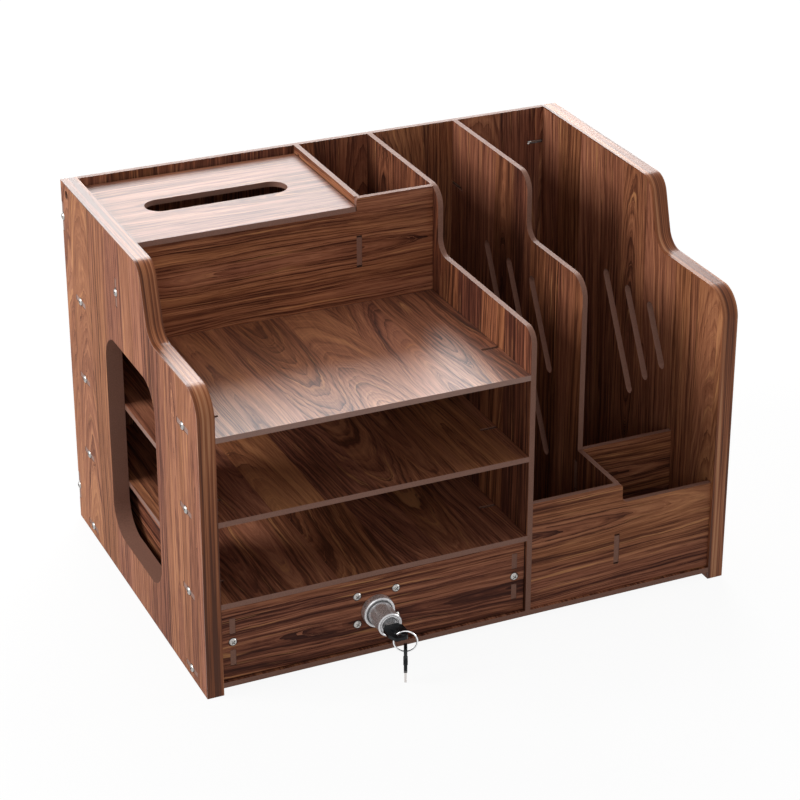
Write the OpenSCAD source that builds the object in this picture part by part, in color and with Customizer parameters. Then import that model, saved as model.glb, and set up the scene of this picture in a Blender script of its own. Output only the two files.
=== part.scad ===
// Desk organiser: letter trays over a locking drawer, a lidded tissue box with a pen well,
// and two upright file bays. Thick side panels carry thin boards on through tabs and screws.
// X runs to the right, Y to the back and Z up. The origin is the middle of the footprint.

/* [Overall size] */
// Outside width over the side panels
overall_w = 500; // [460:1:560]
// Depth of the side panels from front edge to back edge
overall_d = 350; // [340:1:380]
// Height of the side panels
overall_h = 344; // [338:1:356]
// Thickness of the two side panels
side_t = 15; // [12:0.5:18]
// Thickness of every inner board
board_t = 5; // [4:0.5:6]
// Height of the bottom board above the desk
foot_h = 7; // [4:0.5:12]

/* [Compartments] */
// Clear width of the letter trays and of the drawer bay
tray_w = 283.5; // [262:0.5:296]
// Clear height of the drawer bay
drawer_bay_h = 71; // [66:0.5:74]
// Clear height of each letter tray
tray_h = 72.5; // [68:0.5:74]
// Clear width of the left file bay
file_bay_w = 84; // [70:0.5:96]
// Depth of the open desk shelf in front of the tissue box
desk_shelf_d = 197.5; // [193:0.5:206]
// Clear width of the tissue box
tissue_w = 209; // [196:0.5:216]
// How far the lid's top lies below the top of the side panels
lid_drop = 7; // [5:0.5:9]

/* [Side panel outline] */
// Height of the low front part of each side panel
side_low_h = 283; // [276:1:292]
// Distance of the riser's foot from the front edge
side_riser_y = 117; // [108:1:122]
// How far the riser leans back over its height
side_riser_lean = 17.5; // [8:0.5:22]
// Radius of the rounded corner at the top of the riser
side_crest_r = 18; // [10:1:24]
// Radius of the hollow at the foot of the riser
side_valley_r = 20; // [10:1:28]
// Radius of the front corner
side_nose_r = 25; // [12:1:30]
// Thickness of the edge strip glued along the front and the top
band_t = 1; // [0.6:0.1:1.6]

/* [Divider outlines] */
// Height of the low front part of both dividers
divider_low_h = 284; // [276:1:290]
// Distance of the dividers' riser from their front reference edge
divider_riser_y = 186.5; // [176:0.5:190]
// Radius of the rounded corner at the top of a divider's riser
divider_crest_r = 18; // [10:1:20]
// Radius of the hollow at the foot of a divider's riser
divider_valley_r = 15; // [8:1:18]
// Radius of the tray divider's front corner
tray_nose_r = 14; // [8:1:20]
// Radius of the file divider's front corner
file_nose_r = 20; // [10:1:24]
// Setback of the file divider's tall part
file_setback = 76; // [66:1:90]
// Height of the front panel's left part and of the low boards behind it, above the bottom board
pocket_h = 104.5; // [98:0.5:112]
// How much lower the front panel's right part is
pocket_step = 18.5; // [12:0.5:26]

/* [Window and slots] */
// Distance of the window's front edge from the side panel's front edge
window_y = 108; // [98:1:116]
// Length of the window
window_l = 131; // [118:1:142]
// Height of the window's lower edge
window_z = 43.5; // [36:0.5:54]
// Height of the window
window_h = 198; // [182:1:206]
// Corner radius of the window
window_r = 28; // [16:1:34]
// Width of the slanted grip slots
slot_w = 11; // [7:0.5:13]
// Slant of the grip slots from upright, in degrees
slot_slant = 28; // [24:1:30]
// Distance from one grip slot to the next
slot_pitch = 46.5; // [40:0.5:48]
// Height of the upper ends of the file divider's slots
file_slot_top = 250; // [242:1:258]
// Height of the upper ends of the right side panel's slots
side_slot_top = 226; // [216:1:236]

/* [Tissue lid] */
// Length of the tissue opening
tissue_slot_l = 134; // [110:1:150]
// Width of the tissue opening
tissue_slot_w = 29; // [20:1:40]
// Distance of the opening's middle from the side panels' front edge
tissue_slot_y = 270; // [262:1:276]
// Diameter of the round hinge holes
hinge_hole_d = 8; // [7.5:0.1:8.5]
// Distance of the hinge line from the back board
hinge_inset = 11.6; // [9:0.1:14]
// Gap at each side of the lid
lid_side_gap = 1.2; // [0.6:0.1:2]
// Gap behind the lid
lid_rear_gap = 3; // [2:0.1:4]

/* [Tabs and screws] */
// Length of one tab
tab_l = 9; // [7:0.5:11]
// Gap between the two tabs of a pair, where the screw goes
tab_gap = 8.6; // [7.6:0.1:10]
// Length of one tab on the drawer sides
drawer_tab_l = 14.6; // [10:0.1:16]
// Gap between the two tabs on the drawer sides
drawer_tab_gap = 15.9; // [12:0.1:18]
// Length of the single tabs that have no screw
long_tab_l = 27; // [20:0.5:30]
// Length of the mortise for a single tab
long_mortise_l = 30.5; // [30.5:0.5:33]
// Diameter of the screw shank
screw_d = 3; // [2.6:0.1:3.4]
// Diameter of the pan head
screw_head_d = 7.3; // [6.6:0.1:7.8]
// Height of the pan head
screw_head_h = 2.2; // [1.8:0.1:2.6]
// Length of the screws in the side panels
long_screw_l = 30; // [28:1:32]
// Length of the screws in the thin boards
short_screw_l = 20; // [16:1:20]
// Length of the lock's screws
lock_screw_l = 8; // [7.5:0.5:10]

/* [Drawer] */
// Gap between the drawer front and the boards beside it
drawer_gap = 1; // [0.6:0.1:1.5]
// Setback of the drawer front and the front panel from the boards' front edges
front_setback = 3; // [2:0.1:4]
// Distance of the drawer sides from the ends of the drawer front
drawer_side_inset = 6.8; // [5.5:0.1:9]
// Height of the drawer sides
drawer_side_h = 65; // [62:0.5:66]
// Height of the drawer's back
drawer_back_h = 48; // [40:0.5:50]
// Gap between the drawer and the back board
drawer_rear_gap = 15; // [11:1:37]
// Height of the drawer floor above the lower edge of the drawer sides
drawer_floor_lift = 5; // [3:0.5:7]

/* [Lock] */
// Diameter of the lock's flange
lock_flange_d = 29; // [26:0.5:32]
// Height of the flange
lock_flange_h = 7; // [5:0.5:8]
// Diameter of the lock's barrel at its front
lock_barrel_d = 21.8; // [20:0.2:23]
// Length of the lock in front of the drawer front
lock_reach = 29; // [26:0.5:32]
// Diameter of the plug that the key turns
plug_d = 12.6; // [11.6:0.1:13.4]
// Rise of the bolt when the key turns by 90 degrees
bolt_throw = 4; // [3:0.1:4]
// Spacing of the lock's screws across
lock_screw_x = 36; // [35:0.5:38]
// Spacing of the lock's screws up and down
lock_screw_z = 27.5; // [27:0.5:30]
// Height of the screws' middle above the lock's axis
lock_screw_lift = 3; // [2:0.5:4]

/* [Keys] */
// Width of the key's head
key_head_w = 18; // [16:0.5:20]
// Length of the key's head
key_head_l = 23.5; // [22:0.5:24]
// Thickness of the key's head
key_head_t = 3; // [2.6:0.1:3]
// Width of the key's blade
key_blade_w = 7.6; // [6.6:0.1:8.2]
// Thickness of the key's blade
key_blade_t = 2; // [1.6:0.1:2.4]
// Length of the blade in front of the head
key_blade_l = 22; // [18:0.5:22]
// Diameter of the hole in each key's head
key_hole_d = 6.8; // [6.6:0.1:7.2]
// Diameter of the key ring, measured at the middle of its wire
ring_d = 20; // [19.4:0.2:22]
// Diameter of the ring's wire
ring_wire_d = 1.5; // [1.2:0.1:1.6]

/* [Hidden] */
$fn = 72;

// Colours
walnut_side = [0.55, 0.37, 0.28];
walnut_board = [0.36, 0.22, 0.16];
walnut_edge = [0.45, 0.33, 0.29];
steel = [0.75, 0.75, 0.76];
lock_grey = [0.55, 0.54, 0.55];
black_plastic = [0.05, 0.06, 0.07];

// Fits
fit_gap = 0.1;          // round a tab, across its thickness
tab_end_gap = 0.5;      // at each end of a tab
tab_short = 0.2;        // how far a tab stops below the outer face
lap = 1;                // how far a tab's rectangle reaches back into its own board
arc_lap = 0.002;        // how far a corner's arc passes its two tangent points
shank_gap = 0.2;        // round a screw's shank
head_sink = 0.8;        // depth of the seat below a screw's head
head_gap = 0.8;         // round a screw's head
running_gap = 0.05;     // round the turning plug
slide_gap = 0.3;        // below the sliding drawer
bolt_gap = 0.4;         // round the sliding bolt
slit_end_room = 1.8;    // room past a screw's tip in its slit
rear_slit_room = 7;     // more room in the slits behind the back board

slit_l = short_screw_l - board_t - head_sink + slit_end_room;
side_slit_l = long_screw_l - side_t - head_sink + slit_end_room;
rear_slit_l = slit_l + rear_slit_room;

// Levels, from the desk up
floor_z = foot_h;
floor_top = floor_z + board_t;
lower_z = floor_top + drawer_bay_h;
middle_z = lower_z + board_t + tray_h;
top_z = middle_z + board_t + tray_h;
desk_z = top_z + board_t;
lid_top = overall_h - lid_drop;
lid_z = lid_top - board_t;
pocket_top = floor_top + pocket_h;
pocket_low = pocket_top - pocket_step;

// Places across, from the left outer face
in_l = side_t;
in_r = overall_w - side_t;
tray_div_x = in_l + tray_w;
tray_div_x2 = tray_div_x + board_t;
file_div_x = tray_div_x2 + file_bay_w;
file_div_x2 = file_div_x + board_t;
part_x = in_l + tissue_w;
part_x2 = part_x + board_t;
left_mid = (in_l + tray_div_x) / 2;
right_mid = (file_div_x2 + in_r) / 2;

// Places in depth, from the front edge of the side panels
back_y = overall_d - board_t;
wall_y = desk_shelf_d;
wall_y2 = wall_y + board_t;
face_y = front_setback;
face_y2 = face_y + board_t;
cross_y = file_setback;
cross_y2 = cross_y + board_t;
hinge_y = back_y - hinge_inset;
hinge_z = lid_z + board_t / 2;

// Middles of the joints
pair_l = 2 * tab_l + tab_gap;
shelf_mids = [lower_z + board_t / 2, middle_z + board_t / 2, top_z + board_t / 2];
floor_mid = floor_z + board_t / 2;
level_mids = concat([floor_mid], shelf_mids);
side_joint_ys = [37, overall_d - 42];           // shelves and bottom board into the side panels
divider_joint_ys = [62.5, overall_d - 65];      // shelves into the tray divider
file_foot_ys = [file_setback + 74, overall_d - 65];     // file divider into the bottom board
back_side_zs = [34, overall_h - 35];            // back board into the side panels
back_divider_zs = [60, overall_h - 62.5];       // dividers into the back board
wall_joint_z = (desk_z + lid_z) / 2 + 5.5;
front_joint_z = floor_top + 48;
file_tenon_z = floor_top + 40;
cross_tenon_z = pocket_top - 26;
cross_joint_z = floor_top + 52;
back_mid = back_y + board_t / 2;
wall_mid = wall_y + board_t / 2;
face_mid = face_y + board_t / 2;
cross_mid = cross_y + board_t / 2;
tray_div_mid = tray_div_x + board_t / 2;
file_div_mid = file_div_x + board_t / 2;
part_mid = part_x + board_t / 2;
wall_corner_r = 3;                  // front panel of the tissue box, upper corner
step_x = file_div_x2 + 1.5;         // the front panel's step
step_crest_r = 4;
step_foot_r = 5.5;
lid_overhang = 1;                   // how far the lid reaches past its front panel
hinge_pin_l = 10;                   // how far the lid's left pin reaches into the side panel
hinge_pin_short = 0.5;              // how far its right pin stops below the partition's face

// Grip slots, from the front backwards, and how far each one's end lies below its top
file_slot_y = 173;
file_slot_drops = [70, 155, 184];
side_slot_y = 125;
side_slot_pitch = 41.7;
side_slot_drops = [46, 70, 96];

// Drawer
drawer_x = in_l + drawer_gap;
drawer_x2 = tray_div_x - drawer_gap;
drawer_z = floor_top + drawer_gap;
drawer_z2 = lower_z - drawer_gap;
drawer_in_l = drawer_x + drawer_side_inset;
drawer_in_r = drawer_x2 - drawer_side_inset;
drawer_base_z = floor_top + slide_gap;
drawer_floor_z = drawer_base_z + drawer_floor_lift;
drawer_end_y = back_y - drawer_rear_gap;
drawer_back_inset = 6;              // of the drawer's back from the ends of its sides
drawer_joint_z = drawer_base_z + 36;
drawer_foot_ys = [face_y2 + 72, drawer_end_y - 80];
drawer_back_z = drawer_floor_z + board_t;
drawer_back_mid = drawer_back_z + drawer_back_h / 2;
drawer_back_y = drawer_end_y - drawer_back_inset - board_t;
drawer_mortise_l = long_tab_l + 2 * tab_end_gap;

// Lock: its own axes are X right, Y up and Z towards the user, from the drawer front's face
lock_x = (drawer_x + drawer_x2) / 2;
lock_z = (drawer_z + drawer_z2) / 2;
plug_r = plug_d / 2;
bore_r = plug_r + running_gap;
spigot_r = plug_r + 3;              // the barrel's stub through the drawer front
spigot_gap = 0.2;
case_plate_t = 1.5;
case_wall = 1.5;
case_front = -board_t - case_plate_t;
plug_end = case_front - case_wall - 1.8;
bolt_front = plug_end - 0.2;
bolt_t = 3.5;
bolt_w = 18;
bolt_foot = -8;
bolt_top = drawer_z2 - lock_z - bolt_gap;
case_back = bolt_front - bolt_t - bolt_gap - case_wall;
case_low = -14;
case_high = 20;
case_half_w = 15;
case_margin = 5;                    // the plate round its screws
crank_throw = bolt_throw / 2;       // the crank pin turns from below the axis to above it
crank_pin_r = 1.5;
crank_r = crank_throw * sqrt(2);
crank_gap = 0.25;
strike_skin = 1.2;                  // wood left above the blind slot for the bolt
plug_face = lock_reach - 1.6;
keyway_gap = 0.25;

// Keys
head_z = lock_reach + 0.3;          // rear edge of the key's head, in lock axes
tang_l = 6;                         // part of the blade inside the head
hole_inset = 8;                     // the ring's hole from the head's outer end
key_shoulder = 4.5;
key_taper = 8;
blade_tip = 2;
blade_notch_r = 0.7;
blade_notch_pitch = 3.2;
grip_rib_x = 3;                     // two low ribs on each face of a key's head
grip_rib_w = 1.2;
grip_rib_l = 4.4;
grip_rib_lift = 0.4;
table_gap = 1;                      // the spare key hangs clear of the table
ring_r = ring_d / 2;
wire_r = ring_wire_d / 2;
view_turn = 24;                     // the ring is turned by this angle about an upright line
hang_angle = 48;                    // the hole lies this far up round the ring from its side
ring_shift = 0.8;                   // how far outside the hole's middle the wire passes
seat_gap = 0.2;
ring_hole_y = face_y - head_z - key_head_l + hole_inset;
ring_out = (ring_r - ring_shift) * cos(hang_angle);
ring_drop = (ring_r - ring_shift) * sin(hang_angle);
spare_hole_z = lock_z - ring_drop - ring_r + wire_r + seat_gap - key_hole_d / 2;
spare_blade_l = spare_hole_z + hole_inset - key_head_l - table_gap;

// Middle of the whole depth, from the spare key's head to the screws in the back
spare_y = ring_hole_y - ring_out * sin(view_turn);
front_y = spare_y - key_head_w / 2 * cos(view_turn) - key_head_t / 2 * sin(view_turn);
rear_y = overall_d - head_sink + screw_head_h;
middle_y = (front_y + rear_y) / 2;

// ---- placing and drawing helpers
module in_place() { translate([-overall_w / 2, -middle_y, 0]) children(); }
module board_yz(x, t) { translate([x, 0, 0]) rotate([90, 0, 90]) linear_extrude(t) children(); }
module board_xz(y, t) { translate([0, y + t, 0]) rotate([90, 0, 0]) linear_extrude(t) children(); }
module board_xy(z, t) { translate([0, 0, z]) linear_extrude(t) children(); }
module at_lock() { translate([lock_x, face_y, lock_z]) rotate([90, 0, 0]) children(); }
module area(low, high) { translate(low) square(high - low); }

function unit(v) = v / norm(v);

// The arc that rounds a corner: its start, its centre and its end
function corner_arc(before, corner, after, r) =
    let (a = unit(before - corner), b = unit(after - corner), half = acos(a * b) / 2)
    [corner + a * r / tan(half), corner + unit(a + b) * r / sin(half), corner + b * r / tan(half)];

// An outline from a list of [point, radius], counter-clockwise: a radius above zero rounds an
// outer corner off, one below zero fills a hollow corner, and zero leaves it sharp
module outline(corners) {
    n = len(corners);
    arcs = [for (i = [0:n - 1]) corners[i][1] == 0 ? [corners[i][0]] : corner_arc(
        corners[(i + n - 1) % n][0], corners[i][0], corners[(i + 1) % n][0], abs(corners[i][1]))];
    difference() {
        union() {
            polygon([for (arc = arcs) each arc]);
            for (i = [0:n - 1]) if (corners[i][1] > 0)
                translate(arcs[i][1]) circle(corners[i][1] + arc_lap);
        }
        for (i = [0:n - 1]) if (corners[i][1] < 0)
            translate(arcs[i][1]) circle(-corners[i][1] + arc_lap);
    }
}

// A slot with round ends, between the middles of its two ends
module slot(from, to, w) {
    run = to - from;
    translate(from) rotate(atan2(run.y, run.x)) {
        translate([0, -w / 2]) square([norm(run), w]);
        circle(w / 2);
        translate([norm(run), 0]) circle(w / 2);
    }
}

// A grip slot that leans forward as it goes down; its upper end touches height top above depth y
module grip_slot(y, top, drop) {
    from = [y, top - slot_w / 2];
    slot(from, from - [drop * tan(slot_slant), drop], slot_w);
}

// A stepped outline in Y and Z: low at the front, rising to full height at the back. Its two
// rounded corners share the rise between them
module stepped_outline(front, back, base, low, high, riser, lean, nose, valley, crest) {
    room = (high - low) / 2;
    outline([[[front, base], 0], [[back, base], 0], [[back, high], 0],
        [[riser + lean, high], min(crest, room)], [[riser, low], -min(valley, room)],
        [[front, low], nose]]);
}

// The side panel's outline, drawn in by inset and carried past the back and the foot by over
module side_outline(inset, over) {
    slope = side_riser_lean / (overall_h - side_low_h);
    stepped_outline(inset, overall_d + over, -over, side_low_h - inset, overall_h - inset,
        side_riser_y + inset * (sqrt(1 + slope * slope) - slope), side_riser_lean,
        side_nose_r - inset, side_valley_r + inset, side_crest_r - inset);
}

// ---- tabs, mortises, slits and screws
// A pair of tabs that reach along the first axis from u0 to u1, about v
module tabs_u(u0, u1, v, l = tab_l, gap = tab_gap) {
    for (s = [-1, 1]) translate([u0, v + s * (gap + l) / 2 - l / 2]) square([u1 - u0, l]);
}

module tabs_v(v0, v1, u, l = tab_l, gap = tab_gap) {
    for (s = [-1, 1]) translate([u + s * (gap + l) / 2 - l / 2, v0]) square([l, v1 - v0]);
}

// A pair of mortises along the first axis, or along the second with turn = 90, and the screw hole
module mortises(at, turn = 0, l = tab_l, gap = tab_gap) {
    translate(at) rotate(turn) {
        for (s = [-1, 1])
            translate([s * (gap + l) / 2, 0])
                square([l + 2 * tab_end_gap, board_t + 2 * fit_gap], center = true);
        circle(d = screw_d + 2 * shank_gap);
    }
}

// A single tab without a screw, and its mortise, which is l long
module long_tab_u(u0, u1, v) { area([u0, v - long_tab_l / 2], [u1, v + long_tab_l / 2]); }

module long_mortise(at, turn = 0, l = long_mortise_l) {
    translate(at) rotate(turn) square([l, board_t + 2 * fit_gap], center = true);
}

// The slit that takes a screw's shank, from a board's edge inwards
module slit_u(edge, inward, v, l = slit_l) {
    w = screw_d + 2 * shank_gap;
    translate([min(edge, edge + inward * l), v - w / 2]) square([l, w]);
}

module slit_v(edge, inward, u, l = slit_l) {
    w = screw_d + 2 * shank_gap;
    translate([u - w / 2, min(edge, edge + inward * l)]) square([w, l]);
}

// A shallow round seat for a screw's head; the screw goes in along +Z
module head_seat() { translate([0, 0, -1]) cylinder(d = screw_head_d + head_gap, h = 1 + head_sink); }

module screw(length) {
    head_r = screw_head_d / 2;
    tip = 4;
    translate([0, 0, head_sink]) difference() {
        rotate_extrude() polygon([[0, -screw_head_h], [head_r * 0.45, -screw_head_h * 0.96],
            [head_r * 0.75, -screw_head_h * 0.8], [head_r * 0.95, -screw_head_h * 0.45],
            [head_r, 0], [screw_d / 2, 0], [screw_d / 2, length - tip], [0.4, length], [0, length]]);
        for (a = [45, 135]) rotate(a)
            translate([-head_r * 0.55, -0.45, -screw_head_h - 1]) cube([head_r * 1.1, 0.9, 2.1]);
    }
}

module facing_right(p) { translate(p) rotate([0, 90, 0]) children(); }
module facing_left(p) { translate(p) rotate([0, -90, 0]) children(); }
module facing_back(p) { translate(p) rotate([-90, 0, 0]) children(); }
module facing_front(p) { translate(p) rotate([90, 0, 0]) children(); }

// Where the screws enter each carrier
module at_left_side() {
    for (y = side_joint_ys, z = level_mids) facing_right([0, y, z]) children();
    for (z = back_side_zs) facing_right([0, back_mid, z]) children();
    facing_right([0, wall_mid, wall_joint_z]) children();
}

module at_right_side() {
    for (y = side_joint_ys) facing_left([overall_w, y, floor_mid]) children();
    for (z = back_side_zs) facing_left([overall_w, back_mid, z]) children();
}

module at_back() {
    for (x = [tray_div_mid, file_div_mid], z = back_divider_zs)
        facing_front([x, overall_d, z]) children();
    for (z = shelf_mids) facing_front([left_mid, overall_d, z]) children();
    facing_front([part_mid, overall_d, wall_joint_z]) children();
}

module at_bottom() {
    for (y = divider_joint_ys) translate([tray_div_mid, y, floor_z]) children();
    for (y = file_foot_ys) translate([file_div_mid, y, floor_z]) children();
    for (x = [left_mid, right_mid]) translate([x, back_mid, floor_z]) children();
}

module at_tray_divider() {
    for (y = divider_joint_ys, z = shelf_mids) facing_left([tray_div_x2, y, z]) children();
}

// The mortises for the boards that end in both side panels, in Y and Z
module common_side_mortises() {
    for (y = side_joint_ys) mortises([y, floor_mid]);
    for (z = back_side_zs) mortises([back_mid, z], 90);
}

// ---- side panels
module left_side_panel() color(walnut_side) in_place() difference() {
    board_yz(0, side_t) difference() {
        side_outline(band_t, 0);
        window = [[0, 0], [window_l, 0], [window_l, window_h], [0, window_h]];
        translate([window_y, window_z]) outline([for (p = window) [p, window_r]]);
        common_side_mortises();
        for (y = side_joint_ys, z = shelf_mids) mortises([y, z]);
        mortises([wall_mid, wall_joint_z], 90);
        translate([hinge_y, hinge_z]) circle(d = hinge_hole_d);
    }
    at_left_side() head_seat();
}

module right_side_panel() color(walnut_side) in_place() difference() {
    board_yz(in_r, side_t) difference() {
        side_outline(band_t, 0);
        common_side_mortises();
        long_mortise([face_mid, front_joint_z], 90);
        long_mortise([cross_mid, cross_joint_z], 90);
        for (i = [0:2]) grip_slot(side_slot_y + i * side_slot_pitch, side_slot_top, side_slot_drops[i]);
    }
    at_right_side() head_seat();
}

module edge_band(x) {
    board_yz(x, side_t) difference() {
        side_outline(0, 0);
        side_outline(band_t, 1);
    }
}

module left_edge_band() color(walnut_edge) in_place() edge_band(0);
module right_edge_band() color(walnut_edge) in_place() edge_band(in_r);

// ---- boards of the carcass
module bottom_panel() color(walnut_board) in_place() difference() {
    board_xy(floor_z, board_t) difference() {
        union() {
            area([in_l, 0], [in_r, overall_d]);
            for (y = side_joint_ys) {
                tabs_u(tab_short, in_l + lap, y);
                tabs_u(in_r - lap, overall_w - tab_short, y);
            }
        }
        for (y = side_joint_ys) {
            slit_u(in_l, 1, y, side_slit_l);
            slit_u(in_r, -1, y, side_slit_l);
        }
        for (y = divider_joint_ys) mortises([tray_div_mid, y], 90);
        for (y = file_foot_ys) mortises([file_div_mid, y], 90);
        for (x = [left_mid, right_mid]) mortises([x, back_mid]);
    }
    at_bottom() head_seat();
}

module back_panel() color(walnut_board) in_place() difference() {
    board_xz(back_y, board_t) difference() {
        union() {
            area([in_l, floor_top], [in_r, overall_h]);
            for (z = back_side_zs) {
                tabs_u(tab_short, in_l + lap, z);
                tabs_u(in_r - lap, overall_w - tab_short, z);
            }
            for (x = [left_mid, right_mid]) tabs_v(floor_z + tab_short, floor_top + lap, x);
        }
        for (z = back_side_zs) {
            slit_u(in_l, 1, z, side_slit_l);
            slit_u(in_r, -1, z, side_slit_l);
        }
        for (x = [left_mid, right_mid]) slit_v(floor_top, 1, x);
        for (x = [tray_div_mid, file_div_mid], z = back_divider_zs) mortises([x, z], 90);
        for (z = shelf_mids) mortises([left_mid, z]);
        mortises([part_mid, wall_joint_z], 90);
    }
    at_back() head_seat();
}

// A shelf of the left section: tabs left, right and at the back
module shelf_outline() {
    difference() {
        union() {
            area([in_l, 0], [tray_div_x, back_y]);
            for (y = side_joint_ys) tabs_u(tab_short, in_l + lap, y);
            for (y = divider_joint_ys) tabs_u(tray_div_x - lap, tray_div_x2 - tab_short, y);
            tabs_v(back_y - lap, overall_d - tab_short, left_mid);
        }
        for (y = side_joint_ys) slit_u(in_l, 1, y, side_slit_l);
        for (y = divider_joint_ys) slit_u(tray_div_x, -1, y);
        slit_v(back_y, -1, left_mid);
    }
}

module lower_shelf() color(walnut_board) in_place() difference() {
    board_xy(lower_z, board_t) shelf_outline();
    at_lock() translate([-bolt_w / 2 - bolt_gap, lower_z - lock_z - 1, bolt_front - bolt_t - bolt_gap])
        cube([bolt_w + 2 * bolt_gap, board_t - strike_skin + 1, bolt_t + 2 * bolt_gap]);
}

module middle_shelf() color(walnut_board) in_place() board_xy(middle_z, board_t) shelf_outline();
module top_shelf() color(walnut_board) in_place() board_xy(top_z, board_t) shelf_outline();

module tray_divider() color(walnut_board) in_place() difference() {
    board_yz(tray_div_x, board_t) difference() {
        union() {
            stepped_outline(0, back_y, floor_top, divider_low_h, overall_h, divider_riser_y, 0,
                tray_nose_r, divider_valley_r, divider_crest_r);
            for (z = back_divider_zs) tabs_u(back_y - lap, overall_d - tab_short, z);
            for (y = divider_joint_ys) tabs_v(floor_z + tab_short, floor_top + lap, y);
        }
        for (z = back_divider_zs) slit_u(back_y, -1, z, rear_slit_l);
        for (y = divider_joint_ys) slit_v(floor_top, 1, y);
        for (y = divider_joint_ys, z = shelf_mids) mortises([y, z]);
        long_mortise([wall_mid, wall_joint_z], 90);
        long_mortise([face_mid, front_joint_z], 90);
    }
    at_tray_divider() head_seat();
}

module file_divider() color(walnut_board) in_place() board_yz(file_div_x, board_t) difference() {
    union() {
        stepped_outline(file_setback, back_y, floor_top, divider_low_h, overall_h,
            divider_riser_y, 0, file_nose_r, divider_valley_r, divider_crest_r);
        area([face_y2, floor_top], [file_setback + lap, pocket_top]);
        long_tab_u(face_y + tab_short, face_y2 + lap, file_tenon_z);
        for (z = back_divider_zs) tabs_u(back_y - lap, overall_d - tab_short, z);
        for (y = file_foot_ys) tabs_v(floor_z + tab_short, floor_top + lap, y);
    }
    for (z = back_divider_zs) slit_u(back_y, -1, z, rear_slit_l);
    for (y = file_foot_ys) slit_v(floor_top, 1, y);
    long_mortise([cross_mid, cross_tenon_z], 90);
    for (i = [0:2]) grip_slot(file_slot_y + i * slot_pitch, file_slot_top, file_slot_drops[i]);
}

module tissue_front_panel() color(walnut_board) in_place() board_xz(wall_y, board_t) difference() {
    union() {
        outline([[[in_l, desk_z], 0], [[tray_div_x, desk_z], 0], [[tray_div_x, overall_h], 0],
            [[part_x, overall_h], wall_corner_r], [[part_x, lid_z], 0], [[in_l, lid_z], 0]]);
        tabs_u(tab_short, in_l + lap, wall_joint_z);
        long_tab_u(tray_div_x - lap, tray_div_x2 - tab_short, wall_joint_z);
    }
    slit_u(in_l, 1, wall_joint_z, side_slit_l);
    long_mortise([part_mid, wall_joint_z], 90);
}

module tissue_partition() color(walnut_board) in_place() board_yz(part_x, board_t) difference() {
    union() {
        area([wall_y2, desk_z], [back_y, overall_h]);
        long_tab_u(wall_y + tab_short, wall_y2 + lap, wall_joint_z);
        tabs_u(back_y - lap, overall_d - tab_short, wall_joint_z);
    }
    slit_u(back_y, -1, wall_joint_z, rear_slit_l);
    translate([hinge_y, hinge_z]) circle(d = hinge_hole_d);
}

// The lid turns on two square tabs in the round hinge holes
module tissue_lid() color(walnut_board) in_place() board_xy(lid_z, board_t) difference() {
    lid_l = in_l + lid_side_gap;
    lid_r = part_x - lid_side_gap;
    union() {
        area([lid_l, wall_y - lid_overhang], [lid_r, back_y - lid_rear_gap]);
        area([in_l - hinge_pin_l, hinge_y - board_t / 2], [lid_l + lap, hinge_y + board_t / 2]);
        area([lid_r - lap, hinge_y - board_t / 2],
            [part_x2 - hinge_pin_short, hinge_y + board_t / 2]);
    }
    run = (tissue_slot_l - tissue_slot_w) / 2;
    middle = [(lid_l + lid_r) / 2, tissue_slot_y];
    slot(middle - [run, 0], middle + [run, 0], tissue_slot_w);
}

// The front panel steps down to the right of the file divider in a small S
module front_panel() color(walnut_board) in_place() board_xz(face_y, board_t) difference() {
    union() {
        outline([[[tray_div_x2, floor_top], 0], [[in_r, floor_top], 0], [[in_r, pocket_low], 0],
            [[step_x, pocket_low], -step_foot_r], [[step_x, pocket_top], step_crest_r],
            [[tray_div_x2, pocket_top], 0]]);
        long_tab_u(tray_div_x + tab_short, tray_div_x2 + lap, front_joint_z);
        long_tab_u(in_r - lap, overall_w - tab_short, front_joint_z);
    }
    long_mortise([file_div_mid, file_tenon_z], 90);
}

module cross_partition() color(walnut_board) in_place() board_xz(cross_y, board_t) {
    area([file_div_x2, floor_top], [in_r, pocket_top]);
    long_tab_u(file_div_x + tab_short, file_div_x2 + lap, cross_tenon_z);
    long_tab_u(in_r - lap, overall_w - tab_short, cross_joint_z);
}

// ---- drawer
module at_drawer_screws() {
    for (x = [drawer_in_l, drawer_in_r - board_t])
        facing_back([x + board_t / 2, face_y, drawer_joint_z]) children();
}

module at_lock_screws() { at_lock() at_lock_holes() rotate([180, 0, 0]) children(); }

module drawer_front() color(walnut_board) in_place() difference() {
    board_xz(face_y, board_t) difference() {
        area([drawer_x, drawer_z], [drawer_x2, drawer_z2]);
        for (x = [drawer_in_l, drawer_in_r - board_t])
            mortises([x + board_t / 2, drawer_joint_z], 90, drawer_tab_l, drawer_tab_gap);
        translate([lock_x, lock_z]) circle(spigot_r + spigot_gap);
        translate([lock_x, lock_z]) at_lock_holes() circle(d = screw_d + 2 * shank_gap);
    }
    at_drawer_screws() head_seat();
    at_lock_screws() head_seat();
}

module drawer_side(x) {
    board_yz(x, board_t) difference() {
        union() {
            area([face_y2, drawer_base_z], [drawer_end_y, drawer_base_z + drawer_side_h]);
            tabs_u(face_y + tab_short, face_y2 + lap, drawer_joint_z, drawer_tab_l,
                drawer_tab_gap);
        }
        slit_u(face_y2, 1, drawer_joint_z);
        for (y = drawer_foot_ys)
            long_mortise([y, drawer_floor_z + board_t / 2], 0, drawer_mortise_l);
        long_mortise([drawer_back_y + board_t / 2, drawer_back_mid], 90, drawer_mortise_l);
    }
}

module drawer_left_side() color(walnut_board) in_place() drawer_side(drawer_in_l);
module drawer_right_side() color(walnut_board) in_place() drawer_side(drawer_in_r - board_t);

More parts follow.
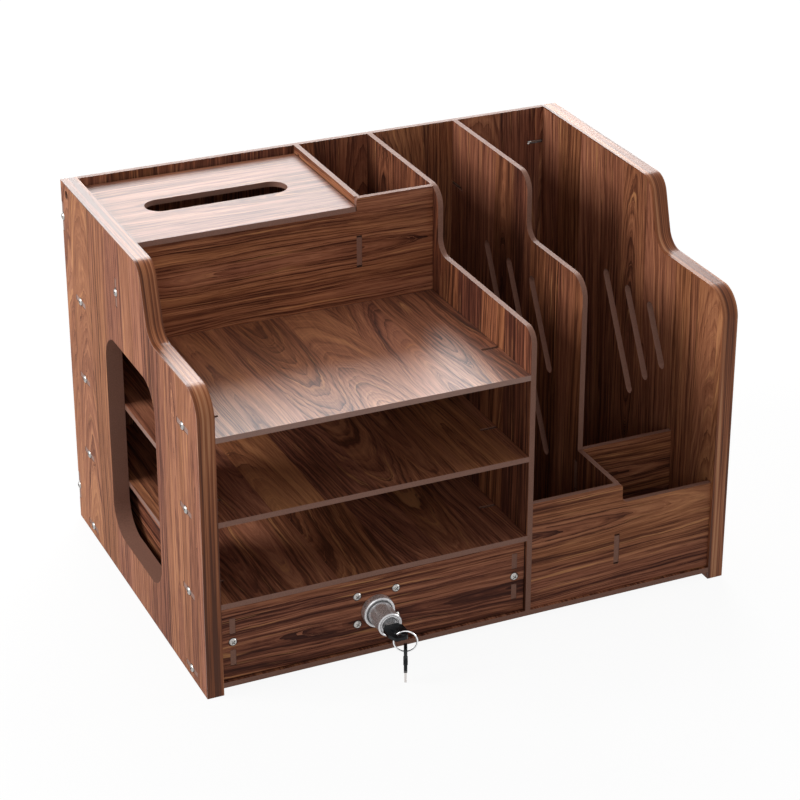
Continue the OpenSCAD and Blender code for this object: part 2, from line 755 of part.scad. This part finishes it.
module drawer_bottom() color(walnut_board) in_place() board_xy(drawer_floor_z, board_t) {
    area([drawer_in_l + board_t, face_y2], [drawer_in_r - board_t, drawer_end_y]);
    for (y = drawer_foot_ys)
        area([drawer_in_l + tab_short, y - long_tab_l / 2],
            [drawer_in_r - tab_short, y + long_tab_l / 2]);
}

module drawer_back() color(walnut_board) in_place() board_xz(drawer_back_y, board_t) {
    area([drawer_in_l + board_t, drawer_back_z],
        [drawer_in_r - board_t, drawer_back_z + drawer_back_h]);
    long_tab_u(drawer_in_l + tab_short, drawer_in_r - tab_short, drawer_back_mid);
}

// ---- lock
module at_lock_holes() {
    for (u = [-1, 1], v = [-1, 1])
        translate([u * lock_screw_x / 2, lock_screw_lift + v * lock_screw_z / 2, 0]) children();
}

module lock_barrel() color(lock_grey) in_place() at_lock() {
    flange_r = lock_flange_d / 2;
    rim_r = lock_barrel_d / 2;
    rotate_extrude() polygon([
        [bore_r, case_front], [spigot_r, case_front], [spigot_r, 0], [flange_r, 0],
        [flange_r, lock_flange_h - 1.6], [flange_r - 0.4, lock_flange_h - 0.5],
        [flange_r - 1.2, lock_flange_h], [flange_r - 2.3, lock_flange_h - 0.2],
        [flange_r - 2.9, lock_flange_h - 1.2], [rim_r + 0.6, lock_flange_h - 1.2],
        [rim_r + 0.2, lock_flange_h - 0.2], [rim_r - 0.5, lock_reach - 3.2],
        [rim_r - 0.1, lock_reach - 2.8], [rim_r, lock_reach - 2.4], [rim_r, lock_reach - 0.9],
        [rim_r - 0.6, lock_reach - 0.2], [rim_r - 1.3, lock_reach], [rim_r - 1.9, lock_reach - 0.6],
        [rim_r - 2.4, lock_reach - 0.6], [rim_r - 2.9, lock_reach - 0.1],
        [rim_r - 3.5, lock_reach - 0.3], [bore_r + 0.4, plug_face], [bore_r, plug_face - 0.4]]);
}

// The housing behind the drawer front is open at the top for the bolt
module lock_case() color(steel) in_place() at_lock() difference() {
    depth = case_front - case_back;
    union() {
        translate([-lock_screw_x / 2 - case_margin,
            lock_screw_lift - lock_screw_z / 2 - case_margin, case_front])
            cube([lock_screw_x + 2 * case_margin, lock_screw_z + 2 * case_margin, case_plate_t]);
        translate([-case_half_w, case_low, case_back])
            cube([2 * case_half_w, case_high - case_low, depth]);
    }
    translate([-bolt_w / 2 - bolt_gap, case_low + case_wall, case_back + case_wall])
        cube([bolt_w + 2 * bolt_gap, case_high - case_low, depth - 2 * case_wall]);
    translate([0, 0, case_front]) cylinder(r = spigot_r + spigot_gap, h = case_plate_t + 1);
    translate([0, 0, case_front - case_wall - 1]) cylinder(r = bore_r, h = case_wall + 2);
    at_lock_holes() translate([0, 0, case_front - 1])
        cylinder(d = screw_d + 2 * shank_gap, h = case_plate_t + 2);
}

// The crank pin of the plug lifts the bolt by its cross slot
module lock_bolt() color(steel) in_place() at_lock() difference() {
    slot_r = crank_pin_r + crank_gap;
    translate([-bolt_w / 2, bolt_foot, bolt_front - bolt_t])
        cube([bolt_w, bolt_top - bolt_foot, bolt_t]);
    translate([-crank_r - slot_r, -crank_throw - slot_r, bolt_front - bolt_t - 1])
        cube([crank_r - crank_throw + 2 * slot_r, 2 * slot_r, bolt_t + 2]);
}

module lock_plug() color(steel) in_place() at_lock() difference() {
    union() {
        translate([0, 0, plug_end]) cylinder(r = plug_r, h = plug_face - plug_end);
        translate([-crank_throw, -crank_throw, bolt_front - bolt_t])
            cylinder(r = crank_pin_r, h = bolt_t + 1);
    }
    translate([-key_blade_w / 2 - keyway_gap, -key_blade_t / 2 - keyway_gap,
        head_z - key_blade_l - 1])
        cube([key_blade_w + 2 * keyway_gap, key_blade_t + 2 * keyway_gap, key_blade_l + 2]);
}

module lock_screws() color(steel) in_place() at_lock_screws() screw(lock_screw_l);

// ---- keys, in lock axes: the head lies flat and the blade points into the plug
module head_plate() {
    half = key_head_w / 2;
    neck = key_blade_w / 2 + 1.5;
    translate([0, key_head_t / 2, 0]) rotate([90, 0, 0]) difference() {
        union() {
            linear_extrude(key_head_t) difference() {
                outline([[[neck, 0], 0], [[half, key_shoulder], 2],
                    [[half, key_head_l - key_taper], 5], [[neck, key_head_l], 3],
                    [[-neck, key_head_l], 3], [[-half, key_head_l - key_taper], 5],
                    [[-half, key_shoulder], 2], [[-neck, 0], 0]]);
                translate([0, key_head_l - hole_inset]) circle(d = key_hole_d);
            }
            for (s = [-1, 1])
                translate([s * grip_rib_x - grip_rib_w / 2, tang_l + 0.7, -grip_rib_lift])
                    cube([grip_rib_w, grip_rib_l, key_head_t + 2 * grip_rib_lift]);
        }
        translate([-key_blade_w / 2 - fit_gap, -1, (key_head_t - key_blade_t) / 2 - fit_gap])
            cube([key_blade_w + 2 * fit_gap, tang_l + 1, key_blade_t + 2 * fit_gap]);
    }
}

module blade(reach) {
    half = key_blade_w / 2;
    notches = floor((reach - 6) / blade_notch_pitch);
    translate([0, key_blade_t / 2, 0]) rotate([90, 0, 0]) linear_extrude(key_blade_t) difference() {
        polygon([[-half, tang_l - fit_gap], [-half, blade_tip - reach], [blade_tip - half, -reach],
            [half - blade_tip, -reach], [half, blade_tip - reach], [half, tang_l - fit_gap]]);
        for (i = [0:notches - 1], s = [-1, 1])
            translate([s * half, 4.5 - reach + i * blade_notch_pitch]) circle(blade_notch_r);
    }
}

module at_key() { at_lock() translate([0, 0, head_z]) children(); }
module key_head() color(black_plastic) in_place() at_key() head_plate();
module key_blade() color(steel) in_place() at_key() blade(key_blade_l);

// The ring hangs from the hole in the key's head
module at_ring() {
    translate([lock_x, ring_hole_y, lock_z]) rotate(-view_turn)
        translate([ring_out, 0, -ring_drop]) children();
}

module key_ring() color(steel) in_place() at_ring() rotate([90, 0, 0])
    rotate_extrude() translate([ring_r, 0]) circle(wire_r, $fn = 24);

// The spare key hangs from the ring's lowest point, turned square to the wire
module at_spare() {
    at_ring() translate([0, 0, spare_hole_z - lock_z + ring_drop]) rotate(90)
        translate([0, 0, hole_inset - key_head_l]) children();
}

module spare_key_head() color(black_plastic) in_place() at_spare() head_plate();
module spare_key_blade() color(steel) in_place() at_spare() blade(spare_blade_l);

// ---- screw groups
module left_side_screws() color(steel) in_place() at_left_side() screw(long_screw_l);
module right_side_screws() color(steel) in_place() at_right_side() screw(long_screw_l);
module back_screws() color(steel) in_place() at_back() screw(short_screw_l);
module bottom_screws() color(steel) in_place() at_bottom() screw(short_screw_l);
module tray_divider_screws() color(steel) in_place() at_tray_divider() screw(short_screw_l);
module drawer_screws() color(steel) in_place() at_drawer_screws() screw(short_screw_l);

left_side_panel();
right_side_panel();
left_edge_band();
right_edge_band();
back_panel();
bottom_panel();
lower_shelf();
middle_shelf();
top_shelf();
tray_divider();
file_divider();
tissue_front_panel();
tissue_partition();
tissue_lid();
front_panel();
cross_partition();
drawer_front();
drawer_left_side();
drawer_right_side();
drawer_back();
drawer_bottom();
lock_barrel();
lock_case();
lock_bolt();
lock_plug();
lock_screws();
key_blade();
key_head();
key_ring();
spare_key_head();
spare_key_blade();
left_side_screws();
right_side_screws();
back_screws();
bottom_screws();
tray_divider_screws();
drawer_screws();
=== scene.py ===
import math
import bpy
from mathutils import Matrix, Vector

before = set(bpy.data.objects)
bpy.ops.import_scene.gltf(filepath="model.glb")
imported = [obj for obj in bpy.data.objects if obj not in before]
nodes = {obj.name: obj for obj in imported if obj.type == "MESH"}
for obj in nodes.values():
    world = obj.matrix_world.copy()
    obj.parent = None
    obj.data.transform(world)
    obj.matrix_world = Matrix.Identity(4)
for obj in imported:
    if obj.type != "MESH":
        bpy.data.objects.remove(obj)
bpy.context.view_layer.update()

# the photograph's view of the organiser
shot = {
    "place": (-0.8240, -1.8175, 1.1492),
    "turn": 24.24,            # degrees to the right of straight back
    "down": 24.92,            # degrees below the horizon
    "lens": 111.3,            # mm on a 36 mm sensor
    "shift": -0.075,
}


def setCamera():
    data = bpy.data.cameras.new("camera")
    data.lens = shot["lens"]
    data.shift_y = shot["shift"]
    camera = bpy.data.objects.new("camera", data)
    bpy.context.scene.collection.objects.link(camera)
    camera.location = shot["place"]
    camera.rotation_euler = (math.radians(90 - shot["down"]), 0, math.radians(-shot["turn"]))
    bpy.context.scene.camera = camera
    print("camera set")


setCamera()


# small tools for building materials
def feed(tree, socket, value):
    if isinstance(value, bpy.types.NodeSocket):
        tree.links.new(value, socket)
    else:
        socket.default_value = value


def addNode(tree, kind, inputs=None, **settings):
    made = tree.nodes.new(kind)
    for name, value in settings.items():
        setattr(made, name, value)
    for name, value in (inputs or {}).items():
        feed(tree, made.inputs[name], value)
    return made


def maths(tree, operation, *values):
    made = addNode(tree, "ShaderNodeMath", operation=operation)
    for i, value in enumerate(values):
        feed(tree, made.inputs[i], value)
    return made.outputs[0]


def splitXyz(tree, vector):
    return addNode(tree, "ShaderNodeSeparateXYZ", {"Vector": vector}).outputs


def joinXyz(tree, x, y, z):
    return addNode(tree, "ShaderNodeCombineXYZ", {"X": x, "Y": y, "Z": z}).outputs[0]


def noise(tree, vector, scale=1.0, detail=3.0, roughness=0.55):
    return addNode(tree, "ShaderNodeTexNoise", {"Vector": vector, "Scale": scale, "Detail": detail,
                                                "Roughness": roughness}).outputs["Fac"]


def stretched(tree, across, along, seed, perAcross, perAlong, detail, roughness):
    # noise drawn out along the grain, with so many cells to a metre each way, from -0.5 to 0.5
    place = joinXyz(tree, maths(tree, "MULTIPLY", across, perAcross),
                    maths(tree, "MULTIPLY", along, perAlong), seed)
    return maths(tree, "SUBTRACT", noise(tree, place, 1.0, detail, roughness), 0.5)


def remap(tree, value, low, high, newLow, newHigh):
    return addNode(tree, "ShaderNodeMapRange", {"Value": value, "From Min": low, "From Max": high,
                                                "To Min": newLow, "To Max": newHigh},
                   clamp=True).outputs["Result"]


def ramp(tree, value, stops):
    made = addNode(tree, "ShaderNodeValToRGB", {"Fac": value})
    elements = made.color_ramp.elements
    while len(elements) < len(stops):
        elements.new(0.5)
    for element, (place, colour) in zip(elements, stops):
        element.position = place
        element.color = (*colour, 1)
    return made.outputs["Color"]


def mixColours(tree, factor, first, second, blend="MIX"):
    made = addNode(tree, "ShaderNodeMix", data_type="RGBA", blend_type=blend)
    for socket, value in ((made.inputs[0], factor), (made.inputs[6], first), (made.inputs[7], second)):
        feed(tree, socket, (*value, 1) if isinstance(value, tuple) else value)
    return made.outputs[2]


def mottled(tree, factor, colour, darker, paler):
    # one colour, a little darker in some spots and paler in others
    return mixColours(tree, factor, tuple(darker * c for c in colour), tuple(paler * c for c in colour))


def startMaterial(name, uniform):
    # uniform holds what is the same all over the surface
    material = bpy.data.materials.new(name)
    material.use_nodes = True
    shader = material.node_tree.nodes["Principled BSDF"]
    for socket, value in uniform.items():
        shader.inputs[socket].default_value = value
    return material, material.node_tree, shader


def addBump(tree, shader, height, distance):
    bump = addNode(tree, "ShaderNodeBump", {"Height": height, "Distance": distance})
    tree.links.new(bump.outputs["Normal"], shader.inputs["Normal"])


# painted shade, which darkens a joint, a slit or a recess by how enclosed a spot is
nook = {
    "reach": 0.0025,          # metres
    "samples": 6,
    "open": (0.15, 0.70),     # how open a spot is where the painted shade is darkest, and where it has none
    "wood": 0.85,             # how much of the painted shade's colour the darkest spot takes
    "metal": 0.90,
    # the colour of the painted shade on metal; on wood it is the pores' colour
    "paintedShade": (0.020, 0.018, 0.016),
}


def paintedNookShade(tree, most):
    # painted shade: how far to darken a spot, from 0 where it is open to most where it is enclosed
    near = addNode(tree, "ShaderNodeAmbientOcclusion", {"Distance": nook["reach"]},
                   samples=nook["samples"]).outputs["AO"]
    return remap(tree, near, *nook["open"], most, 0)


def dress(material, *names):
    for name in names:
        slots = nodes[name].data.materials
        slots.clear()
        slots.append(material)


walnut = {
    # the print's colours, from its darkest lines to its palest bands
    "colours": [(0.12, (0.045, 0.015, 0.009)), (0.32, (0.130, 0.045, 0.024)), (0.47, (0.255, 0.097, 0.048)),
                (0.62, (0.370, 0.152, 0.076)), (0.88, (0.540, 0.250, 0.120))],
    "rosy": (1.00, 0.93, 1.06),
    "golden": (1.03, 0.98, 0.88),
    "rosyToGolden": (0.05, 0.45),
    "glint": (0.66, 0.31, 0.13),
    "glintFrom": (0.11, 0.18),
    "glintMost": 0.65,
    "pore": (0.050, 0.018, 0.010),
    "poreFrom": (0.16, 0.24),
    "poreMost": 0.5,
    "fibre": 0.80,            # how strongly the fibres show
    "stripTone": 0.10,        # how far strips differ in depth of colour
    "stripHue": 0.5,          # and in hue
    "roughness": (0.50, 0.42),    # in the dark bands and in the pale ones
    "bandEnds": (0.2, 0.8),
    "bump": 0.00003,          # metres
    "poreDepth": 0.8,
}

# the growth rings, in metres where they are lengths
growth = {
    "faceGap": 0.37,          # how far apart on the print a board's two faces lie
    "stripJump": 7.3,         # how far a seed shifts the strips
    "stripSpread": 0.6,       # how unequal they are in width
    "trunks": 11.0,           # how far apart the strips' seeds lie
    "depth": 0.30,            # how far along the grain a trunk's middle may lie
    "pith": 0.00001,          # square metres, which keep the rings round at the heart
    "ringGap": 0.0024,
    "ringSwirl": 3.0,         # how much the bands push the rings
    "lateThin": 4.0,          # how thin the late wood's lines are
    "lateFrom": (-0.12, 0.16),
}

# each noise's cells to a metre, across the grain and along it, then its detail and roughness
noises = {
    "wander": (13, 4.5, 2, 0.5),
    "ripple": (60, 17, 3, 0.6),
    "late": (60, 5, 2, 0.55),
    "hue": (32, 2, 2, 0.55),
    "glint": (380, 7, 3, 0.6),
    "fibre": (520, 16, 3, 0.7),
    "pore": (1500, 60, 1, 0.55),
}
bandNoise = (3.2, 6, 0.74)    # the same, along the grain only
seedSteps = {"glint": 4, "fibre": 7, "pore": 8}

# how the veneer in the print was cut: the width of its strips, how far the heart may lie beside a
# strip's middle, how steeply the rings run out, and how far they wander and ripple, all in metres
cuts = {
    "quarter": {"strip": 0.044, "heart": 0.085, "lean": (0.02, 0.12), "wander": 0.007, "ripple": 0.0022,
                "band": 330, "contrast": 1.7, "late": 0.38},
    "crown": {"strip": 0.046, "heart": 0.045, "lean": (0.03, 0.16), "wander": 0.012, "ripple": 0.0024,
              "band": 250, "contrast": 1.7, "late": 0.42},
    "plank": {"strip": 0.120, "heart": 0.080, "lean": (0.02, 0.06), "wander": 0.008, "ripple": 0.0016,
              "band": 300, "contrast": 2.1, "late": 0.52},
    "calm": {"strip": 0.150, "heart": 0.090, "lean": (0.02, 0.05), "wander": 0.006, "ripple": 0.0010,
             "band": 150, "contrast": 1.2, "late": 0.14},
}

# the painted cut edges of the boards
edgePaint = {
    "colour": (0.270, 0.138, 0.100),
    "mottle": (0.88, 1.10),
    "speckle": 900,           # spots to a metre
    "speckleDetail": 2,
    "speckleEnds": (0.3, 0.7),
    "speckleDepth": 0.3,
    "faceFrom": 0.8,          # how squarely a surface faces out where the print ends and paint begins
}


def sawStrips(tree, across, seed, cut):
    # each strip of the print comes from its own trunk: its random values, and the way to its middle
    stripPlace = maths(tree, "MULTIPLY_ADD", across, 1 / cut["strip"], seed * growth["stripJump"])
    strip = addNode(tree, "ShaderNodeTexVoronoi", {"W": stripPlace, "Scale": 1.0,
                                                   "Randomness": growth["stripSpread"]},
                    voronoi_dimensions="1D")
    pick = addNode(tree, "ShaderNodeSeparateColor", {"Color": strip.outputs["Color"]}).outputs
    fromMiddle = maths(tree, "SUBTRACT", stripPlace, strip.outputs["W"])
    return pick, maths(tree, "MULTIPLY", fromMiddle, cut["strip"])


def growRings(tree, across, along, trunk, pick, beside, cut):
    # how far a spot lies from its trunk's heart, along rings that wander and ripple.
    # stretched() gives half of 1 each way, so its share is doubled
    beside = maths(tree, "ADD", beside, remap(tree, pick["Green"], 0, 1, -cut["heart"], cut["heart"]))
    slow = stretched(tree, across, along, trunk, *noises["wander"])
    beside = maths(tree, "MULTIPLY_ADD", slow, cut["wander"] * 2, beside)
    depth = maths(tree, "ADD", along, remap(tree, pick["Blue"], 0, 1, -growth["depth"], growth["depth"]))
    depth = maths(tree, "MULTIPLY", depth, remap(tree, pick["Red"], 0, 1, *cut["lean"]))
    squares = maths(tree, "MULTIPLY_ADD", depth, depth, growth["pith"])
    radius = maths(tree, "SQRT", maths(tree, "ADD", maths(tree, "MULTIPLY", beside, beside), squares))
    quick = stretched(tree, across, along, trunk, *noises["ripple"])
    return maths(tree, "MULTIPLY_ADD", quick, cut["ripple"] * 2, radius)


def shadeRings(tree, radius, along, trunk, pick, cut, tone):
    # the colour's depth, from 0 dark to 1 pale: bands and lines that follow the rings
    bands = stretched(tree, radius, along, trunk, cut["band"], *bandNoise)
    value = maths(tree, "MULTIPLY_ADD", bands, cut["contrast"], 0.5 + tone)
    swirl = maths(tree, "MULTIPLY", bands, growth["ringSwirl"])
    rings = maths(tree, "MULTIPLY_ADD", radius, 1 / growth["ringGap"], swirl)
    late = maths(tree, "POWER", maths(tree, "FRACT", rings), growth["lateThin"])
    patches = stretched(tree, radius, along, trunk, *noises["late"])
    strength = remap(tree, patches, *growth["lateFrom"], 0, -cut["late"])
    value = maths(tree, "MULTIPLY_ADD", late, strength, value)
    step = walnut["stripTone"]
    return maths(tree, "ADD", value, remap(tree, pick["Blue"], 0, 1, -step, step))


def tintRings(tree, colour, radius, along, trunk, pick, seed):
    hue = stretched(tree, radius, along, trunk, *noises["hue"])
    hue = maths(tree, "MULTIPLY_ADD", pick["Green"], walnut["stripHue"], hue)
    tint = mixColours(tree, remap(tree, hue, *walnut["rosyToGolden"], 0, 1),
                      walnut["rosy"], walnut["golden"])
    colour = mixColours(tree, 1.0, colour, tint, "MULTIPLY")
    glint = stretched(tree, radius, along, seed + seedSteps["glint"], *noises["glint"])
    glint = remap(tree, glint, *walnut["glintFrom"], 0, walnut["glintMost"])
    return mixColours(tree, glint, colour, walnut["glint"])


def walnutMaterial(name, grain, face, seed, cut, tone, gloss):
    # grain runs along the board's own axis of that name, and face is the axis square to it
    cut = cuts[cut]
    material, tree, shader = startMaterial(name, {"Specular IOR Level": gloss})
    coords = addNode(tree, "ShaderNodeTexCoord").outputs
    place = splitXyz(tree, coords["Object"])
    facing = splitXyz(tree, coords["Normal"])[face]
    isFace = maths(tree, "GREATER_THAN", maths(tree, "ABSOLUTE", facing), edgePaint["faceFrom"])
    side = ({"X", "Y", "Z"} - {grain, face}).pop()
    across = maths(tree, "ADD", place[side],
                   maths(tree, "MULTIPLY", maths(tree, "SIGN", facing), growth["faceGap"]))
    along = place[grain]

    pick, beside = sawStrips(tree, across, seed, cut)
    trunk = maths(tree, "MULTIPLY_ADD", pick["Red"], growth["trunks"], seed)
    radius = growRings(tree, across, along, trunk, pick, beside, cut)
    value = shadeRings(tree, radius, along, trunk, pick, cut, tone)
    fibre = stretched(tree, across, along, seed + seedSteps["fibre"], *noises["fibre"])
    value = maths(tree, "MULTIPLY_ADD", fibre, walnut["fibre"], value)
    colour = ramp(tree, value, walnut["colours"])
    colour = tintRings(tree, colour, radius, along, trunk, pick, seed)
    pores = stretched(tree, across, along, seed + seedSteps["pore"], *noises["pore"])
    pores = remap(tree, pores, *walnut["poreFrom"], 0, walnut["poreMost"])
    colour = mixColours(tree, pores, colour, walnut["pore"])

    speckle = noise(tree, coords["Object"], edgePaint["speckle"], edgePaint["speckleDetail"])
    edge = mottled(tree, remap(tree, speckle, *edgePaint["speckleEnds"], 0, 1), edgePaint["colour"],
                   *edgePaint["mottle"])
    colour = mixColours(tree, isFace, edge, colour)
    # painted shade: the wood darkens towards the pores' colour in joints, slits and recesses
    colour = mixColours(tree, paintedNookShade(tree, nook["wood"]), colour, walnut["pore"])
    tree.links.new(colour, shader.inputs["Base Color"])
    sheen = remap(tree, value, *walnut["bandEnds"], *walnut["roughness"])
    tree.links.new(sheen, shader.inputs["Roughness"])
    height = maths(tree, "MULTIPLY_ADD", pores, -walnut["poreDepth"], fibre)
    height = maths(tree, "MULTIPLY", height, isFace)
    spots = maths(tree, "MULTIPLY", speckle, edgePaint["speckleDepth"])
    addBump(tree, shader, maths(tree, "ADD", height, spots), walnut["bump"])
    return material


# each board's grain axis, face axis, seed, cut, tone and gloss
boards = {
    "left_side_panel": ("Z", "X", 1.0, "quarter", 0.04, 0.03),
    "right_side_panel": ("Z", "X", 2.0, "quarter", 0.05, 0.10),
    "back_panel": ("Z", "Y", 3.0, "quarter", -0.02, 0.20),
    "bottom_panel": ("Y", "Z", 4.0, "crown", 0.0, 0.10),
    "lower_shelf": ("Y", "Z", 5.0, "crown", 0.06, 0.25),
    "middle_shelf": ("Y", "Z", 6.0, "crown", 0.05, 0.25),
    "top_shelf": ("Y", "Z", 27.0, "crown", 0.04, 0.70),
    "tray_divider": ("Z", "X", 8.0, "quarter", -0.12, 0.10),
    "file_divider": ("Z", "X", 9.0, "quarter", -0.05, 0.10),
    "tissue_front_panel": ("X", "Y", 10.0, "plank", 0.03, 0.08),
    "tissue_partition": ("Y", "X", 11.0, "plank", 0.02, 0.15),
    "tissue_lid": ("X", "Z", 12.0, "calm", 0.02, 0.55),
    "front_panel": ("X", "Y", 10.24, "plank", -0.04, 0.08),
    "cross_partition": ("X", "Y", 14.0, "plank", 0.0, 0.10),
    "drawer_front": ("X", "Y", 15.0, "plank", -0.06, 0.08),
    "drawer_left_side": ("Y", "X", 16.0, "plank", 0.0, 0.10),
    "drawer_right_side": ("Y", "X", 17.0, "plank", 0.0, 0.10),
    "drawer_back": ("X", "Y", 18.0, "plank", 0.0, 0.10),
    "drawer_bottom": ("Y", "Z", 19.0, "crown", 0.0, 0.10),
}


def dressBoards():
    for name, looks in boards.items():
        dress(walnutMaterial(name.replace("_", " ") + " walnut", *looks), name)
    print("boards dressed")


dressBoards()

# the woodgrain strip round the side panels' front and top
edging = {
    "colours": [(0.10, (0.100, 0.028, 0.010)), (0.38, (0.240, 0.072, 0.026)), (0.60, (0.380, 0.135, 0.055)),
                (0.90, (0.520, 0.235, 0.115))],
    # as in noises above, with a seed first
    "stripes": (3.0, 300, 3.0, 3, 0.55),
    "fibres": (5.0, 1500, 30, 2, 0.55),
    "contrast": 3.4,
    "tone": 0.44,
    "fibre": 0.3,             # how strongly the fibres show
    "roughness": 0.32,
    "gloss": 0.22,
    "bump": 0.00002,          # metres
}


def edgingMaterial():
    material, tree, shader = startMaterial("walnut edging", {"Roughness": edging["roughness"],
                                                             "Specular IOR Level": edging["gloss"]})
    place = splitXyz(tree, addNode(tree, "ShaderNodeTexCoord").outputs["Object"])
    along = maths(tree, "SUBTRACT", place["Z"], place["Y"])
    stripes = stretched(tree, place["X"], along, *edging["stripes"])
    fibres = stretched(tree, place["X"], along, *edging["fibres"])
    value = maths(tree, "MULTIPLY_ADD", stripes, edging["contrast"], edging["tone"])
    value = maths(tree, "MULTIPLY_ADD", fibres, edging["fibre"], value)
    tree.links.new(ramp(tree, value, edging["colours"]), shader.inputs["Base Color"])
    addBump(tree, shader, fibres, edging["bump"])
    return material


dress(edgingMaterial(), "left_edge_band", "right_edge_band")
print("edging dressed")

# grain is in clouds to a metre
metals = {
    "satin lock metal": {"colour": (0.70, 0.69, 0.70), "shine": 0.60, "roughness": (0.24, 0.34),
                         "grain": 900},
    "zinc": {"colour": (0.60, 0.60, 0.58), "shine": 1.0, "roughness": (0.32, 0.48), "grain": 500},
    "screw steel": {"colour": (0.46, 0.44, 0.42), "shine": 0.85, "roughness": (0.24, 0.34), "grain": 1500},
    "key steel": {"colour": (0.66, 0.62, 0.60), "shine": 1.0, "roughness": (0.20, 0.32), "grain": 1500},
    "chrome": {"colour": (0.80, 0.80, 0.81), "shine": 1.0, "roughness": (0.08, 0.14), "grain": 1200},
}
metalCloud = (0.3, 0.7)       # the noise where a metal is smoothest, and where it is roughest
metalMottle = (0.95, 1.04)
metalBump = 0.00002           # metres


def metalMaterial(name):
    looks = metals[name]
    material, tree, shader = startMaterial(name, {"Metallic": looks["shine"]})
    coords = addNode(tree, "ShaderNodeTexCoord").outputs["Object"]
    cloudy = noise(tree, coords, looks["grain"])
    tree.links.new(remap(tree, cloudy, *metalCloud, *looks["roughness"]), shader.inputs["Roughness"])
    colour = mottled(tree, cloudy, looks["colour"], *metalMottle)
    # painted shade: the metal darkens towards a dark grey where it lies in a slit, a joint or a recess
    colour = mixColours(tree, paintedNookShade(tree, nook["metal"]), colour, nook["paintedShade"])
    tree.links.new(colour, shader.inputs["Base Color"])
    addBump(tree, shader, cloudy, metalBump)
    return material


# the moulded heads of the keys
plastic = {
    "colours": [(0.3, (0.004, 0.005, 0.006)), (0.7, (0.008, 0.010, 0.012))],
    "roughness": 0.30,
    "gloss": 0.18,
    "grain": 2200,            # spots to a metre
    "grainDetail": 2,
    "bump": 0.00004,          # metres
}


def plasticMaterial():
    material, tree, shader = startMaterial("black plastic", {"Roughness": plastic["roughness"],
                                                             "Specular IOR Level": plastic["gloss"]})
    coords = addNode(tree, "ShaderNodeTexCoord").outputs["Object"]
    grain = noise(tree, coords, plastic["grain"], plastic["grainDetail"])
    tree.links.new(ramp(tree, grain, plastic["colours"]), shader.inputs["Base Color"])
    addBump(tree, shader, grain, plastic["bump"])
    return material


def dressMetal():
    dress(metalMaterial("satin lock metal"), "lock_barrel", "lock_plug")
    dress(metalMaterial("zinc"), "lock_case", "lock_bolt")
    dress(metalMaterial("screw steel"), "lock_screws", "drawer_screws", "left_side_screws",
          "right_side_screws", "back_screws", "bottom_screws", "tray_divider_screws")
    dress(metalMaterial("key steel"), "key_blade", "spare_key_blade")
    dress(metalMaterial("chrome"), "key_ring")
    dress(plasticMaterial(), "key_head", "spare_key_head")
    print("lock, keys and screws dressed")


dressMetal()

studio = {
    "middle": (0.0, 0.0, 0.15),
    "ambient": 0.21,
    "floorSize": 14,          # metres
    "floorRough": 0.9,
    "bounce": 0.45,           # how pale the floor is to the object
    "floor": 0.95,
    "glow": 0.93,             # how much of the floor's white doesn't depend on the lamps
}

# place, size and the brightness that a white card facing the lamp would have
softboxes = {
    "left": ((-2.3, 0.45, 1.55), (1.2, 1.2), 0.66),
    "back": ((0.66, 2.33, 1.64), (1.9, 1.2), 0.85),
    "front": ((-0.9, -2.6, 1.3), (1.6, 1.2), 0.12),
    "right": ((2.5, -0.2, 0.8), (1.2, 1.2), 0.40),
}


def addSoftbox(name, place, size, level):
    data = bpy.data.lights.new(name + " softbox", "AREA")
    data.shape = "RECTANGLE"
    data.size, data.size_y = size
    away = Vector(place) - Vector(studio["middle"])
    data.energy = level * math.pi ** 2 * away.length_squared
    lamp = bpy.data.objects.new(data.name, data)
    bpy.context.scene.collection.objects.link(lamp)
    lamp.location = place
    lamp.rotation_euler = away.to_track_quat("Z", "Y").to_euler()


def seenPlainly(tree, rays):
    # 1 to the camera, in gloss and through glass, and 0 where it lights the object
    mirrored = maths(tree, "MAXIMUM", rays["Is Glossy Ray"], rays["Is Transmission Ray"])
    return maths(tree, "MAXIMUM", rays["Is Camera Ray"], mirrored)


def addWhiteRoom():
    world = bpy.data.worlds.new("white room")
    bpy.context.scene.world = world
    world.use_nodes = True
    tree = world.node_tree
    seen = seenPlainly(tree, addNode(tree, "ShaderNodeLightPath").outputs)
    background = tree.nodes["Background"]
    background.inputs["Color"].default_value = (1, 1, 1, 1)
    tree.links.new(remap(tree, seen, 0, 1, studio["ambient"], 1.0), background.inputs["Strength"])


def addFloor():
    bpy.ops.mesh.primitive_plane_add(size=studio["floorSize"])
    floor = bpy.context.active_object
    floor.name = "floor"
    material, tree, shader = startMaterial("pale floor", {"Roughness": studio["floorRough"]})
    rays = addNode(tree, "ShaderNodeLightPath").outputs
    pale = remap(tree, rays["Is Diffuse Ray"], 0, 1, studio["floor"], studio["bounce"])
    tree.links.new(joinXyz(tree, pale, pale, pale), shader.inputs["Base Color"])
    white = addNode(tree, "ShaderNodeEmission", {"Color": (1, 1, 1, 1), "Strength": 1.0}).outputs[0]
    glow = maths(tree, "MULTIPLY", seenPlainly(tree, rays), studio["glow"])
    blend = addNode(tree, "ShaderNodeMixShader", {0: glow, 1: shader.outputs[0], 2: white})
    tree.links.new(blend.outputs[0], tree.nodes["Material Output"].inputs["Surface"])
    floor.data.materials.append(material)


def addStudio():
    for name, looks in softboxes.items():
        addSoftbox(name, *looks)
    addWhiteRoom()
    addFloor()
    bpy.context.scene.view_settings.view_transform = "Standard"
    print("studio set")


addStudio()
